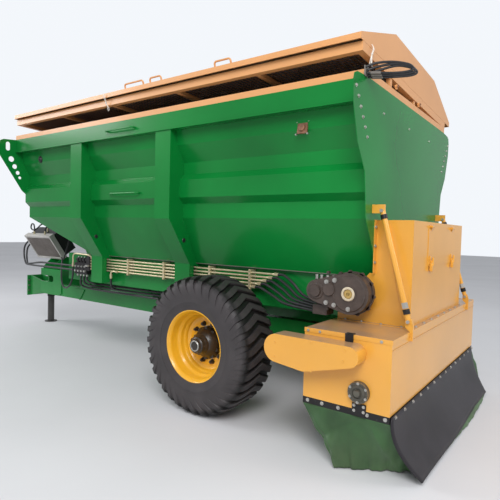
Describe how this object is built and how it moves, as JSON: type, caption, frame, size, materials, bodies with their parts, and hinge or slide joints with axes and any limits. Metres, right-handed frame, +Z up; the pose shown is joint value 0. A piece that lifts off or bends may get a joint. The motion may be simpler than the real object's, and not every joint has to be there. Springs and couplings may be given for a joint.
{
  "type": "manure spreader",
  "caption": "Towed single-axle manure spreader with a folded-sheet hopper, floor chain, rear spreading box with canvas skirt, swing-up sieve and hood, and lugged tyres.",
  "frame": {"origin": "centre of the bounding box's bottom, on the floor", "axes": "+X forward towards the hitch, +Y to the machine's left, +Z up"},
  "size_m": [6.502, 2.77, 3.1227],
  "materials": {
    "green_paint": "gloss enamel",
    "dark_green_paint": "gloss enamel",
    "tan_paint": "satin enamel",
    "orange_paint": "gloss enamel",
    "floor_steel": "rolled plate",
    "black_steel": "satin black paint",
    "cast_grey": "cast, oiled",
    "canvas": "coated canvas",
    "flap_rubber": "matt sheet rubber",
    "hose_rubber": "smooth hose cover",
    "cooler_alloy": "bare alloy",
    "pipe_zinc": "zinc plated",
    "jack_paint": "satin black paint",
    "tyre_rubber": "moulded tyre rubber",
    "wheel_paint": "gloss enamel"
  },
  "bodies": {
    "root": {"side_wall_left": "green_paint", "side_wall_right": "green_paint", "front_wall": "green_paint", "rear_wall": "green_paint", "top_rail": "green_paint", "posts": "green_paint", "upper_frame": "green_paint", "lower_frame": "green_paint", "hitch": "green_paint", "grab_bars": "green_paint", "axle": "dark_green_paint", "rim": "tan_paint", "housing": "orange_paint", "stay_rods": "orange_paint", "spreading_box": "orange_paint", "chain_cases": "orange_paint", "floor_plate": "floor_steel", "conveyor_shafts": "floor_steel", "floor_chain": "black_steel", "skirt_bars": "black_steel", "gearbox": "cast_grey", "drive_motor": "cast_grey", "valve_bank": "cast_grey", "canvas_skirt": "canvas", "rubber_flap": "flap_rubber", "hoses": "hose_rubber", "oil_cooler": "cooler_alloy", "steel_pipes": "pipe_zinc", "jack_tube": "jack_paint"},
    "wheel_left": {"tyre_left": "tyre_rubber", "wheel_left": "wheel_paint"},
    "wheel_right": {"tyre_right": "tyre_rubber", "wheel_right": "wheel_paint"},
    "sieve": {"sieve_frame": "tan_paint", "sieve_rods": "black_steel"},
    "hood": {"hood": "tan_paint", "hood_handles": "tan_paint"},
    "door": {"access_door": "orange_paint"},
    "jack": {"jack_leg": "jack_paint"},
    "auger": {"auger": "black_steel"},
    "roller": {"spreading_roller": "black_steel"}
  },
  "joints": [
    {"name": "wheel_left_spin", "type": "hinge", "parent": "root", "child": "wheel_left", "pos_m": [-1.356, 1.028, 0.588], "axis": [0, 1, 0], "continuous": true},
    {"name": "wheel_right_spin", "type": "hinge", "parent": "root", "child": "wheel_right", "pos_m": [-1.356, -1.028, 0.588], "axis": [0, 1, 0], "continuous": true},
    {"name": "sieve_lift", "type": "hinge", "parent": "root", "child": "sieve", "pos_m": [0, -1.135, 2.709], "axis": [1, 0, 0], "range_deg": [0, 50]},
    {"name": "hood_lift", "type": "hinge", "parent": "sieve", "child": "hood", "pos_m": [0, -1.23724, 2.75423], "axis": [1, 0, 0], "range_deg": [0, 95]},
    {"name": "door_swing", "type": "hinge", "parent": "root", "child": "door", "pos_m": [-3.019, 0, 1.637], "axis": [0, 1, 0], "range_deg": [0, 100]},
    {"name": "jack_slide", "type": "slide", "parent": "root", "child": "jack", "axis": [0, 0, 1], "range_m": [0, 0.3]},
    {"name": "auger_spin", "type": "hinge", "parent": "root", "child": "auger", "pos_m": [-2.628, 0, 0.75], "axis": [0, 1, 0], "continuous": true},
    {"name": "roller_spin", "type": "hinge", "parent": "root", "child": "roller", "pos_m": [-2.845, 0, 0.545], "axis": [0, 1, 0], "continuous": true}
  ]
}
